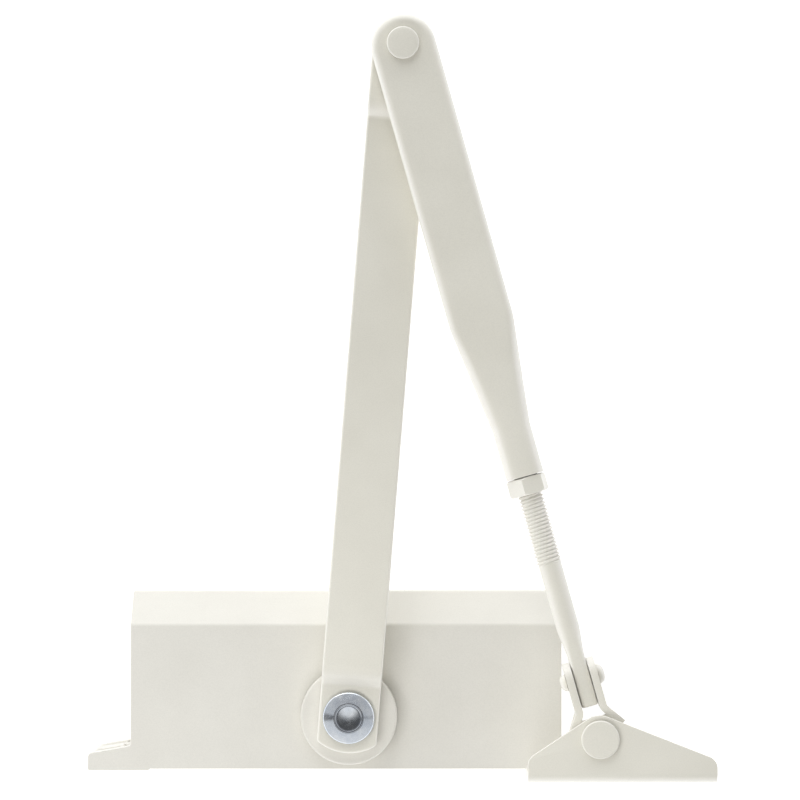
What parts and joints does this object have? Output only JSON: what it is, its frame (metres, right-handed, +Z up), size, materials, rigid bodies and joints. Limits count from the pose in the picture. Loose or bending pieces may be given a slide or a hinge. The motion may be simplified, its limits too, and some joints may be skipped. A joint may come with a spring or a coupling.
{
  "type": "door closer",
  "caption": "Surface-mounted overhead door closer: faceted housing with a spring piston and pinion, folding arm, threaded adjusting rod, clevis and triangular frame shoe.",
  "frame": {"origin": "centre of the housing's back face, on the flush middle land that lies on the door, halfway along and halfway up the housing", "axes": "+Y into the door (the back face's normal), +Z up along the spindle, X along the housing; the arm folds in a level plane above the housing and the shoe is towards -X"},
  "size_m": [0.2101, 0.254, 0.0839],
  "materials": {
    "painted_casting": "ivory powder coat, semi-gloss",
    "painted_steel": "ivory powder coat, semi-gloss",
    "zinc_plate": "bright blue-white zinc plate",
    "machined_steel": "turned and milled steel",
    "spring_steel": "dark drawn wire",
    "bearing_bronze": "machined bronze",
    "valve_brass": "turned brass",
    "cap_plastic": "moulded, fine grain",
    "seal_rubber": "matt black nitrile"
  },
  "bodies": {
    "closer_body": {"housing": "painted_casting", "valve_end_plug": "machined_steel", "spring_end_plug": "machined_steel", "valve_plug_seal": "seal_rubber", "spring_plug_seal": "seal_rubber", "upper_collar": "painted_casting", "lower_collar": "painted_casting", "upper_bearing": "bearing_bronze", "lower_bearing": "bearing_bronze", "upper_shaft_seal": "seal_rubber", "lower_shaft_seal": "seal_rubber", "spindle_end_cap": "cap_plastic", "return_spring": "spring_steel"},
    "closing_valve": {"closing_valve": "valve_brass", "closing_valve_seal": "seal_rubber"},
    "latching_valve": {"latching_valve": "valve_brass", "latching_valve_seal": "seal_rubber"},
    "piston": {"piston": "machined_steel", "check_valve_seat": "valve_brass"},
    "check_ball": {"check_valve_ball": "machined_steel"},
    "pinion": {"pinion_shaft": "machined_steel", "main_arm": "painted_steel", "arm_screw": "zinc_plate"},
    "forearm": {"forearm": "painted_steel", "elbow_rivet": "painted_steel", "elbow_spacer": "bearing_bronze"},
    "lock_nut": {"lock_nut": "painted_steel"},
    "adjusting_rod": {"adjusting_rod": "painted_steel"},
    "clevis": {"clevis": "painted_steel", "clevis_rivet": "painted_steel"},
    "shoe": {"shoe_bracket": "painted_steel", "shoe_rivet": "painted_steel"}
  },
  "joints": [
    {"name": "pinion_turn", "type": "hinge", "parent": "closer_body", "child": "pinion", "pos_m": [-0.001, -0.0186, 0], "axis": [0, 0, -1], "range_deg": [0, 165], "stiffness_Nm_per_rad": 3, "springref_deg": -85.94},
    {"name": "piston_slide", "type": "slide", "parent": "closer_body", "child": "piston", "axis": [-1, 0, 0], "range_m": [0, 0.026], "deforming": ["return_spring"]},
    {"name": "check_ball_lift", "type": "slide", "parent": "piston", "child": "check_ball", "axis": [-1, 0, 0], "range_m": [0, 0.0006]},
    {"name": "closing_valve_turn", "type": "hinge", "parent": "closer_body", "child": "closing_valve", "pos_m": [0.0725, -0.0115, 0.009], "axis": [1, 0, 0], "range_deg": [-180, 180]},
    {"name": "latching_valve_turn", "type": "hinge", "parent": "closer_body", "child": "latching_valve", "pos_m": [0.0725, -0.0115, -0.009], "axis": [1, 0, 0], "range_deg": [-180, 180]},
    {"name": "elbow", "type": "hinge", "parent": "pinion", "child": "forearm", "pos_m": [-0.01915, -0.24267, 0.045], "axis": [0, 0, 1], "range_deg": [-5, 150]},
    {"name": "lock_nut_turn", "type": "hinge", "parent": "forearm", "child": "lock_nut", "pos_m": [-0.06053, -0.09641, 0.0446], "axis": [-0.2723, 0.9622, 0], "continuous": true},
    {"name": "rod_adjust", "type": "slide", "parent": "forearm", "child": "adjusting_rod", "axis": [-0.2723, 0.9622, 0], "range_m": [-0.015, 0.012]},
    {"name": "clevis_tilt", "type": "hinge", "parent": "adjusting_rod", "child": "clevis", "pos_m": [-0.07864, -0.03242, 0.0446], "axis": [0.9622, 0.2723, 0], "range_deg": [-1.5, 12]},
    {"name": "shoe_swivel", "type": "hinge", "parent": "clevis", "child": "shoe", "pos_m": [-0.08419, -0.01279, 0.051], "axis": [0, 0, 1], "range_deg": [-65, 92]}
  ],
  "couplings": [
    {"joint": "piston_slide", "follows": "pinion_turn", "m_per_rad": 0.009}
  ]
}
